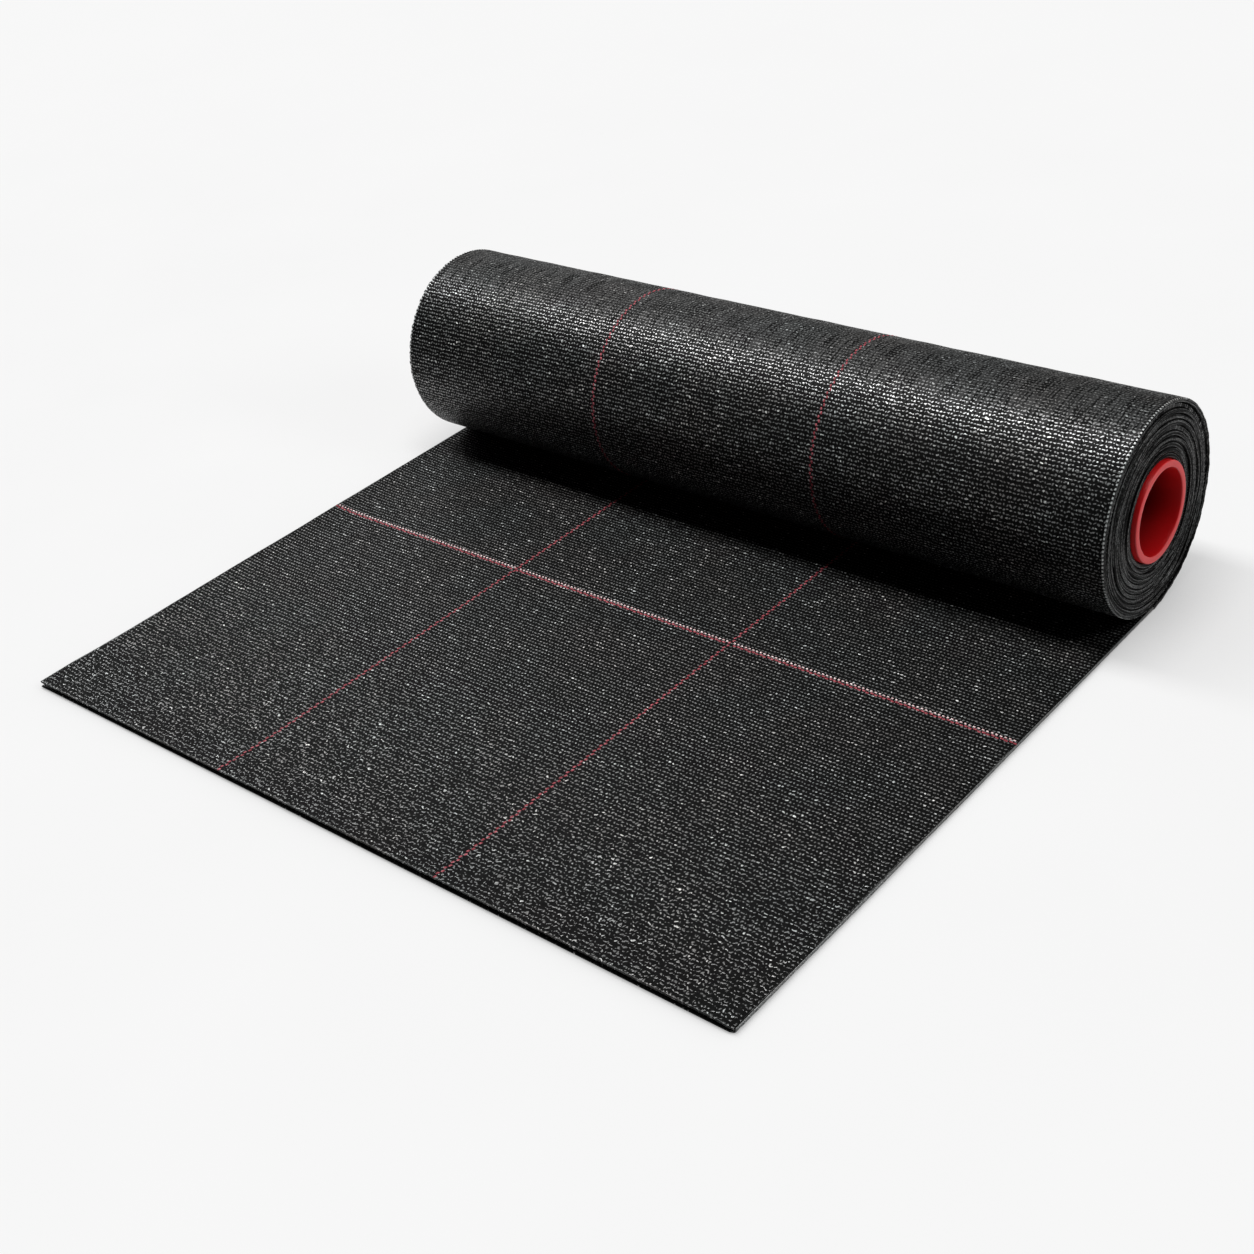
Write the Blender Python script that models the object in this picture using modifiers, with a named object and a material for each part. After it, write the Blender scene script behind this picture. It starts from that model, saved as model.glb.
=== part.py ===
"""Roll of weed control sheet on a red plastic core, partly unrolled on the ground.

Metres, +Z up. +X runs along the roll, to the end that shows the core. +Y runs from the laid sheet's
front edge to the roll. The origin is under the middle of the whole object, on the ground.

The sheet is one woven strip folded in half lengthwise: two plies, joined by a fold along the right
edge and open along the left edge. It lies flat from its front edge to the contact line under the
roll's axis, passes under the roll, climbs its back and winds inwards to the core.
"""
import math

import bmesh
import bpy
import numpy as np
from mathutils import Matrix, Vector

# The sheet
SHEET_WIDTH = 1.000
LAID_LENGTH = 0.750
PLY_THICKNESS = 0.0022
PLY_GAP = 0.0004
EDGE_BEVEL = 0.0007
TURNS = 11
TURN_GAP = 0.0007

# The core and the strip of tape that holds the sheet's inner end
CORE_RADIUS = 0.0560
CORE_WALL = 0.0080
CORE_OVERHANG = 0.0060
CORE_EDGE_ROUND = 0.0008
TAPE_THICKNESS = 0.0004
TAPE_WIDTH = 0.050
TAPE_END_MARGIN = 0.040

# The marker yarns, whose places are measured from the left edge and from the contact line
LEFT_YARN_PLACE = 0.3205
RIGHT_YARN_PLACE = 0.6425
YARN_WIDTH = 0.0032
CROSS_YARN_PLACE = 0.2850
CROSS_YARN_WIDTH = 0.0024
CROSSING_RAMP = 0.0040
YARN_THICKNESS = 0.0004
YARN_PROUD = 0.0002

# Between pieces that touch
FACE_GAP = 0.0003
CUT_OVERRUN = 0.005

# How finely the round shapes are drawn
OUTER_STEPS = 72
INNER_STEPS = 36
FOLD_STEPS = 6

# Worked out from the sizes above
BORE_RADIUS = CORE_RADIUS - CORE_WALL
SHEET_THICKNESS = 2 * PLY_THICKNESS + PLY_GAP
TURN_PITCH = SHEET_THICKNESS + TURN_GAP
SEAT_RADIUS = (CORE_RADIUS + TAPE_THICKNESS + 2 * FACE_GAP) / math.cos(math.pi / INNER_STEPS)
ROLL_RADIUS = SEAT_RADIUS + SHEET_THICKNESS + TURNS * TURN_PITCH
YARN_FLOOR = SHEET_THICKNESS + YARN_PROUD - YARN_THICKNESS
GROOVE_FLOOR = YARN_FLOOR - FACE_GAP
CROSSING_DROP = YARN_THICKNESS + FACE_GAP
LEFT_X = -SHEET_WIDTH / 2
RIGHT_X = SHEET_WIDTH / 2
BACK_REACH = ROLL_RADIUS - TURN_PITCH / 4 + YARN_PROUD
FRONT_Y = -(LAID_LENGTH + BACK_REACH) / 2
AXIS_Y = FRONT_Y + LAID_LENGTH
AXIS_Z = ROLL_RADIUS + FACE_GAP
CROSS_Y = AXIS_Y - CROSS_YARN_PLACE
YARN_XS = (LEFT_X + LEFT_YARN_PLACE, LEFT_X + RIGHT_YARN_PLACE)
AXIS = Vector((0, AXIS_Y, AXIS_Z))


def clear_scene():
    for ob in list(bpy.data.objects):
        bpy.data.objects.remove(ob, do_unlink=True)


def new_collection(name):
    collection = bpy.data.collections.new(name)
    bpy.context.scene.collection.children.link(collection)
    return collection


def material(name, colour, roughness, metallic=0.0):
    made = bpy.data.materials.new(name)
    made.use_nodes = True
    shader = made.node_tree.nodes["Principled BSDF"]
    shader.inputs["Base Color"].default_value = (*colour, 1)
    shader.inputs["Roughness"].default_value = roughness
    shader.inputs["Metallic"].default_value = metallic
    return made


def add_object(name, mesh, collection, mat):
    ob = bpy.data.objects.new(name, mesh)
    collection.objects.link(ob)
    if mat:
        mesh.materials.append(mat)
    return ob


def smooth(mesh, angle=math.radians(30)):
    mesh.shade_smooth()
    mesh.set_sharp_from_angle(angle=angle)


def filled_outline(name, points, length, collection, mat):
    """A closed outline in X and Z, extruded backwards along +Y from Y zero, as a mesh object."""
    curve = bpy.data.curves.new(name, "CURVE")
    curve.dimensions = "2D"
    curve.fill_mode = "BOTH"
    curve.extrude = length / 2
    spline = curve.splines.new("POLY")
    spline.points.add(len(points) - 1)
    for point, (x, z) in zip(spline.points, points):
        point.co = (x, z, 0, 1)
    spline.use_cyclic_u = True
    drawn = bpy.data.objects.new(name + "_outline", curve)
    collection.objects.link(drawn)
    bpy.context.view_layer.update()
    evaluated = drawn.evaluated_get(bpy.context.evaluated_depsgraph_get())
    mesh = bpy.data.meshes.new_from_object(evaluated)
    mesh.name = name
    mesh.materials.clear()
    work = bmesh.new()
    work.from_mesh(mesh)
    bmesh.ops.remove_doubles(work, verts=work.verts, dist=FACE_GAP / 100)
    bmesh.ops.recalc_face_normals(work, faces=work.faces)
    upright = Matrix.Translation((0, length / 2, 0)) @ Matrix.Rotation(math.pi / 2, 4, "X")
    bmesh.ops.transform(work, matrix=upright, verts=work.verts)
    work.to_mesh(mesh)
    work.free()
    ob = add_object(name, mesh, collection, mat)
    bpy.data.objects.remove(drawn)
    bpy.data.curves.remove(curve)
    return ob


def arc(centre_x, centre_h, radius, start, end, steps):
    """Points of an arc, from one angle to another, both included."""
    angles = [start + (end - start) * n / steps for n in range(steps + 1)]
    return [(centre_x + radius * math.cos(a), centre_h + radius * math.sin(a)) for a in angles]


def folded_section(grooved):
    """The folded sheet's section as (x, height above its far face), counterclockwise.

    It is two plies with a narrow slit between them, open at the left and closed by a round fold at
    the right. Where grooved, the near face has a shallow groove for each lengthwise marker yarn.
    """
    half = SHEET_THICKNESS / 2
    points = [(LEFT_X, 0)]
    points += arc(RIGHT_X - half, half, half, -math.pi / 2, math.pi / 2, FOLD_STEPS)
    if grooved:
        reach = YARN_WIDTH / 2 + FACE_GAP
        for x in reversed(YARN_XS):
            points += [(x + reach, SHEET_THICKNESS), (x + reach, GROOVE_FLOOR)]
            points += [(x - reach, GROOVE_FLOOR), (x - reach, SHEET_THICKNESS)]
    points.append((LEFT_X, SHEET_THICKNESS))
    points.append((LEFT_X, PLY_THICKNESS + PLY_GAP))
    points.append((RIGHT_X - half, PLY_THICKNESS + PLY_GAP))
    points.append((RIGHT_X - half, PLY_THICKNESS))
    points.append((LEFT_X, PLY_THICKNESS))
    return points


def bevelled_section():
    """The section of the turns inside the roll, whose edges show as rounded ridges at its ends."""
    left, right, top = LEFT_X, RIGHT_X, SHEET_THICKNESS
    return [
        (left, 0),
        (right - EDGE_BEVEL, 0),
        (right, EDGE_BEVEL),
        (right, top - EDGE_BEVEL),
        (right - EDGE_BEVEL, top),
        (left, top),
    ]


def yarn_section(x):
    """A marker yarn's section on the near face, standing a little proud of it."""
    left, right = x - YARN_WIDTH / 2, x + YARN_WIDTH / 2
    top = YARN_FLOOR + YARN_THICKNESS
    return [(left, YARN_FLOOR), (right, YARN_FLOOR), (right, top), (left, top)]


def outer_radius(turn):
    """The winding's outer radius, counted in turns inwards from the contact line."""
    return ROLL_RADIUS - TURN_PITCH * turn


def wound(name, section, first_turn, last_turn, steps, collection, mat):
    """Winds a section round the roll's axis, from one turn count to another.

    Turn zero starts under the axis and climbs the roll's back. A section's height is measured
    outwards, from the face that looks to the axis to the face that shows on the roll.
    """
    start = first_turn + FACE_GAP / (2 * math.pi * outer_radius(first_turn))
    whole = [n / steps for n in range(round(first_turn * steps) + 1, round(last_turn * steps) + 1)]
    mesh_points, faces = [], []
    turns = [start] + whole
    for turn in turns:
        angle = 2 * math.pi * turn
        inner = outer_radius(turn) - SHEET_THICKNESS
        for x, height in section:
            radius = inner + height
            mesh_points.append(AXIS + Vector((x, radius * math.sin(angle), -radius * math.cos(angle))))
    count = len(section)
    for ring in range(len(turns) - 1):
        for n in range(count):
            here, there = ring * count, (ring + 1) * count
            after = (n + 1) % count
            faces.append((here + n, here + after, there + after, there + n))
    faces.append(tuple(range(count)))
    faces.append(tuple(range(len(turns) * count - 1, (len(turns) - 1) * count - 1, -1)))
    mesh = bpy.data.meshes.new(name)
    mesh.from_pydata([p - AXIS for p in mesh_points], [], faces)
    work = bmesh.new()
    work.from_mesh(mesh)
    bmesh.ops.recalc_face_normals(work, faces=work.faces)
    work.to_mesh(mesh)
    work.free()
    smooth(mesh)
    ob = add_object(name, mesh, collection, mat)
    ob.location = AXIS
    return ob


def crossing_line(start, end, height):
    """A line across the sheet at one height, which drops to pass under each lengthwise yarn."""
    near = YARN_WIDTH / 2 + 2 * FACE_GAP
    far = near + CROSSING_RAMP
    points = [(start, height)]
    for x in YARN_XS:
        points += [(x - far, height), (x - near, height - CROSSING_DROP)]
        points += [(x + near, height - CROSSING_DROP), (x + far, height)]
    points.append((end, height))
    return points


def laid_sheet(parts, cutters, mat):
    """The flat stretch, from the front edge to the contact line, with its yarns' grooves."""
    length = LAID_LENGTH - FACE_GAP
    sheet = filled_outline("laid_sheet", folded_section(True), length, parts, mat)
    sheet.location.y += FRONT_Y
    left, right = LEFT_X - CUT_OVERRUN, RIGHT_X + CUT_OVERRUN
    above = SHEET_THICKNESS + CUT_OVERRUN
    outline = crossing_line(left, right, GROOVE_FLOOR) + [(right, above), (left, above)]
    reach = CROSS_YARN_WIDTH + FACE_GAP * 3 / 2
    groove = filled_outline("cross_groove_cutter", outline, 2 * reach, cutters, None)
    groove.location.y += CROSS_Y - reach
    groove.hide_render = True
    groove.display_type = "WIRE"
    cut = sheet.modifiers.new("cross_groove", "BOOLEAN")
    cut.operation = "DIFFERENCE"
    cut.object = groove
    cut.solver = "EXACT"
    cut.use_self = True
    return sheet


def laid_yarns(parts, mat):
    """The lengthwise yarns along the flat stretch, one object each."""
    for name, x in zip(("left_yarn_laid", "right_yarn_laid"), YARN_XS):
        yarn = filled_outline(name, yarn_section(x), LAID_LENGTH - FACE_GAP, parts, mat)
        yarn.location.y += FRONT_Y


def cross_yarns(parts, near_mat, far_mat):
    """The two yarns across the width, side by side, which pass under the lengthwise yarns."""
    right = RIGHT_X - SHEET_THICKNESS / 2
    outline = crossing_line(LEFT_X, right, YARN_FLOOR)
    outline += reversed(crossing_line(LEFT_X, right, YARN_FLOOR + YARN_THICKNESS))
    near_y = CROSS_Y - FACE_GAP / 2 - CROSS_YARN_WIDTH
    far_y = CROSS_Y + FACE_GAP / 2
    for name, y, mat in (("cross_yarn_red", near_y, near_mat), ("cross_yarn_white", far_y, far_mat)):
        yarn = filled_outline(name, outline, CROSS_YARN_WIDTH, parts, mat)
        yarn.location.y += y


def core_tube(parts, mat):
    """The core: a plain tube turned about its own axis, its end edges slightly rounded."""
    half = SHEET_WIDTH / 2 + CORE_OVERHANG
    profile = [(BORE_RADIUS, -half), (BORE_RADIUS, half), (CORE_RADIUS, half), (CORE_RADIUS, -half)]
    mesh = bpy.data.meshes.new("core_tube")
    mesh.from_pydata([(r, 0, z) for r, z in profile], [(0, 1), (1, 2), (2, 3), (3, 0)], [])
    tube = add_object("core_tube", mesh, parts, mat)
    turned = tube.modifiers.new("turn", "SCREW")
    turned.axis = "Z"
    turned.steps = turned.render_steps = OUTER_STEPS
    turned.use_merge_vertices = True
    turned.merge_threshold = FACE_GAP / 10
    turned.use_smooth_shade = True
    rounded = tube.modifiers.new("edges", "BEVEL")
    rounded.width = CORE_EDGE_ROUND
    rounded.segments = 1
    rounded.limit_method = "ANGLE"
    rounded.angle_limit = math.radians(40)
    tube.rotation_euler = (0, math.pi / 2, 0)
    tube.location = AXIS
    return tube


def core_tape(parts, mat):
    """The strip that sticks the sheet's inner end to the core, as a shallow arc along the core."""
    inner, outer = CORE_RADIUS + FACE_GAP, CORE_RADIUS + FACE_GAP + TAPE_THICKNESS
    step = 2 * math.pi / OUTER_STEPS
    steps = round(TAPE_WIDTH / (inner * step))
    end = 2 * math.pi * (TURNS % 1)
    angles = [end + (n - steps / 2) * step for n in range(steps + 1)]
    outline = [(outer * math.sin(a), -outer * math.cos(a)) for a in angles]
    outline += [(inner * math.sin(a), -inner * math.cos(a)) for a in reversed(angles)]
    length = SHEET_WIDTH - 2 * TAPE_END_MARGIN
    tape = filled_outline("core_tape", outline, length, parts, mat)
    tape.rotation_euler = (0, 0, -math.pi / 2)
    tape.location = AXIS - Vector((length / 2, 0, 0))
    return tape


def least_gap_between_turns():
    """The least distance from any turn to the next, on the winding's own corners."""
    turns = np.arange(TURNS * INNER_STEPS + 1) / INNER_STEPS
    angles = 2 * math.pi * turns
    outer = ROLL_RADIUS - TURN_PITCH * turns
    spokes = np.stack([np.sin(angles), -np.cos(angles)], axis=1)
    faces_out = spokes * outer[:, None]
    faces_in = spokes * (outer - SHEET_THICKNESS)[:, None]
    starts, runs = faces_in[:-1], faces_in[1:] - faces_in[:-1]
    least = math.inf
    for n in range(INNER_STEPS, len(turns)):
        near = slice(max(0, n - INNER_STEPS * 3 // 2), n - INNER_STEPS // 2)
        along = np.einsum("ij,ij->i", faces_out[n] - starts[near], runs[near])
        share = np.clip(along / np.einsum("ij,ij->i", runs[near], runs[near]), 0, 1)
        feet = starts[near] + runs[near] * share[:, None]
        least = min(least, np.linalg.norm(feet - faces_out[n], axis=1).min())
    return least


def main():
    clear_scene()
    parts = new_collection("weed_control_sheet_roll")
    cutters = new_collection("cutters")
    black = material("woven_black", (0.018, 0.018, 0.019), 0.5)
    red_yarn = material("red_yarn", (0.45, 0.05, 0.06), 0.55)
    white_yarn = material("white_yarn", (0.72, 0.68, 0.68), 0.55)
    red_plastic = material("red_plastic", (0.55, 0.02, 0.025), 0.35)
    tape = material("tape", (0.70, 0.62, 0.42), 0.4)

    laid_sheet(parts, cutters, black)
    laid_yarns(parts, red_yarn)
    cross_yarns(parts, red_yarn, white_yarn)
    wound("outer_turn", folded_section(True), 0, 1, OUTER_STEPS, parts, black)
    for name, x in zip(("left_yarn_wound", "right_yarn_wound"), YARN_XS):
        wound(name, yarn_section(x), 0, 1, OUTER_STEPS, parts, red_yarn)
    wound("inner_turns", bevelled_section(), 1, TURNS, INNER_STEPS, parts, black)
    core_tube(parts, red_plastic)
    core_tape(parts, tape)

    print(f"roll radius {ROLL_RADIUS:.5f} m, axis at y {AXIS_Y:.5f} m, z {AXIS_Z:.5f} m")
    print(f"least gap between turns {least_gap_between_turns():.6f} m")


main()
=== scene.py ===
"""Looks of the roll of weed control sheet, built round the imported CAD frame. Metres, +Z up."""
import math
from functools import partial

import bmesh
import bpy
import numpy as np
from mathutils import Matrix, Vector


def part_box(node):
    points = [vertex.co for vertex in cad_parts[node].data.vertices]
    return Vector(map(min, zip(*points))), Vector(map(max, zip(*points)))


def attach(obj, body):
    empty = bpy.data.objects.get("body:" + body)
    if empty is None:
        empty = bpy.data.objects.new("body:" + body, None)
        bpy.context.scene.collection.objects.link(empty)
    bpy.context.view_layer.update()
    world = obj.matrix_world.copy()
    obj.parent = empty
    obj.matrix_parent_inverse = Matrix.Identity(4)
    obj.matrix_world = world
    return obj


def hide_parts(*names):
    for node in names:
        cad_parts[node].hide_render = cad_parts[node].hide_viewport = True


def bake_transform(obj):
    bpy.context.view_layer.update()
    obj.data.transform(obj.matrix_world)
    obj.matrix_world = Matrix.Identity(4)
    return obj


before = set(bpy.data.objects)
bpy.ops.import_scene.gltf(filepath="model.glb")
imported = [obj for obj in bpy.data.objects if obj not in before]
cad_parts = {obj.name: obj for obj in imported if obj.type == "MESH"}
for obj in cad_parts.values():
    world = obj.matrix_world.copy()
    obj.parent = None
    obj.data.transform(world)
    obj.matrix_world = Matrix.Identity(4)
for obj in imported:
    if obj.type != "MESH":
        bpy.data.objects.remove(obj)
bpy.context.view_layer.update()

# Sizes of the CAD frame that the pieces are built on
laid_low, laid_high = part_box("laid_sheet")
core_low, core_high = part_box("core_tube")
turn_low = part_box("outer_turn")[0]
LEFT, RIGHT = laid_low.x, laid_high.x
FRONT, CONTACT = laid_low.y, laid_high.y
THICK = laid_high.z
AXIS_Y = (core_low.y + core_high.y) / 2
AXIS_Z = (core_low.z + core_high.z) / 2
ROLL_RADIUS = AXIS_Z - turn_low.z
CORE_RADIUS = (core_high.y - core_low.y) / 2
CORE_END = RIGHT + 0.0040
CORE_WALL = 0.0080
CORE_LIP = 0.0016
PLY, SLIT = 0.0022, 0.0004
FOLD_REACH = 0.0016
TURNS, TURN_PITCH = 11, 0.0055

# The weave has ribs across the sheet and dashes along each rib, and is a little tighter on the roll
RIB, DASH = 0.0048, 0.0044
FLAT_RIB = 0.0052
RIBS_ROUND = 160
RELIEF = 0.00024
ROW_SHIFT = 0.3819

# The marker yarns are rows of stitches, each a little sunk into the sheet
LEFT_YARN_X, RIGHT_YARN_X = LEFT + 0.3205, LEFT + 0.6425
CROSS_Y = AXIS_Y - 0.2850
CROSS_STITCH = 0.0051
CROSS_CLEAR = 0.0032
YARN_STEP = 0.0010
STITCH_RISE = 0.0004
STITCH_SINK = 0.0001

# Colours, the darker and the paler of each
# The yarns' pairs hold painted shade for their hollows and a painted highlight for their strands
RED_SHADED_AND_LIT = (0.15, 0.007, 0.015, 1), (0.37, 0.085, 0.105, 1)
WHITE_SHADED_AND_LIT = (0.44, 0.28, 0.28, 1), (0.84, 0.74, 0.73, 1)
CORE_RED = (0.58, 0.004, 0.006, 1), (0.68, 0.008, 0.010, 1)
# The sawn ends are paler partly as painted light, on faces that turn to the lamp
CORE_SAWN_AND_LIT = (0.76, 0.050, 0.054, 1), (0.86, 0.072, 0.075, 1)
# The bore's colour is painted shade for its depths
CORE_BORE_SHADE = (0.10, 0.001, 0.001, 1)
TAPE_BUFF = (0.52, 0.43, 0.26, 1), (0.66, 0.57, 0.38, 1)
BLACK_TINTS = (0.94, 1.0, 0.99, 1), (1.03, 1.0, 0.97, 1)

# The floor's own colour, and how light the floor and the backdrop look
FLOOR_ALBEDO = 0.20
BACKDROP = 0.93


# Small tools
def ripple(run, seed, lengths, size):
    """A smooth wander along a run, the same each time, from sines of the given lengths."""
    rng = np.random.default_rng(seed)
    total = np.zeros_like(np.asarray(run, float))
    for length in lengths:
        total += np.sin(2 * np.pi * run / length + rng.uniform(0, 2 * np.pi)) * rng.uniform(0.6, 1)
    return total * size / len(lengths)


def ripple2(u, v, seed, lengths, size):
    """The same in two directions."""
    rng = np.random.default_rng(seed)
    total = np.zeros(np.broadcast(u, v).shape)
    for length in lengths:
        turn = rng.uniform(0, np.pi)
        along = u * np.cos(turn) + v * np.sin(turn)
        total += np.sin(2 * np.pi * along / length + rng.uniform(0, 2 * np.pi)) * rng.uniform(0.6, 1)
    return total * size / len(lengths)


def new_object(name, mesh, mat):
    mesh.materials.append(mat)
    ob = bpy.data.objects.new(name, mesh)
    bpy.context.scene.collection.objects.link(ob)
    return ob


def finish_mesh(mesh, sharp):
    """Turns the faces outwards and shades them smooth, apart from edges over the given degrees."""
    work = bmesh.new()
    work.from_mesh(mesh)
    bmesh.ops.recalc_face_normals(work, faces=work.faces)
    work.to_mesh(mesh)
    work.free()
    mesh.shade_smooth()
    mesh.set_sharp_from_angle(angle=math.radians(sharp))


def loft(name, rings, mat, capped=True, sharp=50):
    """A mesh through closed rings of points, given as rings[row, place, xyz].

    The first and last ring are capped, or joined where they are the same ring."""
    rows, places, _ = rings.shape
    here = np.arange(rows * places).reshape(rows, places)
    there = np.roll(here, -1, axis=1)
    faces = np.stack([here[:-1], there[:-1], there[1:], here[1:]], axis=-1).reshape(-1, 4).tolist()
    if capped:
        faces += [here[0].tolist(), here[-1].tolist()]
    mesh = bpy.data.meshes.new(name)
    mesh.from_pydata(rings.reshape(-1, 3).tolist(), [], faces)
    work = bmesh.new()
    work.from_mesh(mesh)
    if capped:
        bmesh.ops.triangulate(work, faces=[f for f in work.faces if len(f.verts) > 4])
    else:
        bmesh.ops.remove_doubles(work, verts=work.verts, dist=0.00001)
    work.to_mesh(mesh)
    work.free()
    finish_mesh(mesh, sharp)
    return new_object(name, mesh, mat)


# The folded sheet's section
def folded_section(fine, fold_reach):
    """The section as x, height and a share of weave relief: near face, fold, far face and the slit."""
    half = THICK / 2
    fold_x = RIGHT - fold_reach
    by_left = [LEFT + 0.004, LEFT + 0.02]
    by_right = [RIGHT - 0.02, RIGHT - 0.006, fold_x]
    if fine:
        near = np.append(np.arange(LEFT + DASH / 2, fold_x - DASH / 4, DASH / 2), fold_x)
    else:
        near = np.array([LEFT + 0.001, *by_left, 0, *by_right])
    plain = np.array([*by_right[::-1], 0.3, 0.1, -0.1, -0.3, *by_left[::-1]])
    bevel_in, bevel_up = 0.0007, 0.0006
    tip = [(bevel_in, 0), (0, bevel_up), (0, PLY - bevel_up), (bevel_in, PLY)]

    # The fold is half round, with a slight crease at the middle
    rows = [(x, THICK, 1.0) for x in near]
    steps, crease = 12, 0.0006
    for n in range(1, steps):
        a = math.pi / 2 - math.pi * n / steps
        out = fold_x + fold_reach * math.cos(a) - (crease if n == steps / 2 else 0)
        rows.append((out, half + half * math.sin(a), 0.5 * max(0, math.sin(a))))

    # The rest is plain: the underside, and both sides of the slit
    rows += [(x, 0.0, 0.0) for x in plain]
    rows += [(LEFT + dx, h, 0.0) for dx, h in tip]
    rows += [(x, PLY, 0.0) for x in plain[::-1]]
    rows += [(fold_x + SLIT / 2, PLY + SLIT / 2, 0.0)]
    rows += [(x, PLY + SLIT, 0.0) for x in plain]
    rows += [(LEFT + dx, h + PLY + SLIT, 0.0) for dx, h in tip[:3]]
    rows += [(LEFT + bevel_in, THICK, 0.5)]
    return np.array(rows)


def weave_height(x, run, pitch):
    """How high the weave stands at a place, from nought in a gap to one on a dash."""
    rib = run / pitch
    shift = ROW_SHIFT * np.floor(rib) ** 2
    across = 0.5 - 0.5 * np.cos(2 * np.pi * rib)
    along = 0.5 - 0.5 * np.cos(2 * np.pi * (x / DASH + shift))
    return across * (0.6 + 0.4 * along)


def edge_weight(x, reach):
    """One at the sheet's two side edges, falling to nought within a reach."""
    near = np.minimum(x - LEFT, RIGHT - x)
    return np.clip(1 - near / reach, 0, 1) ** 2


# Tools for materials
def tree_of(mat):
    mat.use_nodes = True
    return mat.node_tree, mat.node_tree.nodes["Principled BSDF"]


def node(tree, kind, *inputs, **settings):
    """A new node. An input is a value or a socket; a dict gives inputs by name or number."""
    made = tree.nodes.new("ShaderNode" + kind)
    for key, value in settings.items():
        setattr(made, key, value)
    pairs = []
    for n, value in enumerate(inputs):
        pairs += list(value.items()) if isinstance(value, dict) else [(n, value)]
    for key, value in pairs:
        if isinstance(value, bpy.types.NodeSocket):
            tree.links.new(value, made.inputs[key])
        else:
            made.inputs[key].default_value = value
    return made


def math_node(tree, operation, *inputs, clamp=False):
    return node(tree, "Math", *inputs, operation=operation, use_clamp=clamp).outputs[0]


def mix(tree, share, first, second):
    return node(tree, "Mix", {"Factor": share, "A": first, "B": second}).outputs[0]


def mix_colour(tree, share, first, second):
    """The same for colours, whose sockets of the node share their names and go by number."""
    return node(tree, "Mix", {0: share, 6: first, 7: second}, data_type="RGBA").outputs[2]


def ramp(tree, value, low, high, at_low, at_high):
    """A straight change from one number to another as a value goes from low to high."""
    return node(tree, "MapRange", value, low, high, at_low, at_high).outputs[0]


def smooth_step(tree, value, low, high):
    """A soft change from nought to one as a value goes from low to high."""
    made = node(tree, "MapRange", value, low, high, 0.0, 1.0, interpolation_type="SMOOTHSTEP")
    return made.outputs[0]


def stretched(tree, *pairs):
    """A texture's place from values, each times its own scale."""
    return node(tree, "CombineXYZ", *[math_node(tree, "MULTIPLY", *pair) for pair in pairs]).outputs[0]


def noise(tree, place, scale=1.0, detail=2.0, roughness=0.5, plane=False):
    inputs = {"Vector": place, "Scale": scale, "Detail": detail, "Roughness": roughness}
    return node(tree, "TexNoise", inputs, noise_dimensions="2D" if plane else "3D").outputs[0]


def from_axis(tree, back, up):
    """How far a place is from the roll's axis."""
    place = node(tree, "CombineXYZ", back, up).outputs[0]
    return node(tree, "VectorMath", place, operation="LENGTH").outputs["Value"]


def set_bump(tree, shader, height, strength, distance):
    made = node(tree, "Bump", {"Strength": strength, "Distance": distance, "Height": height})
    tree.links.new(made.outputs[0], shader.inputs["Normal"])


def grey(value):
    return (value, value, value, 1)


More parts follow.
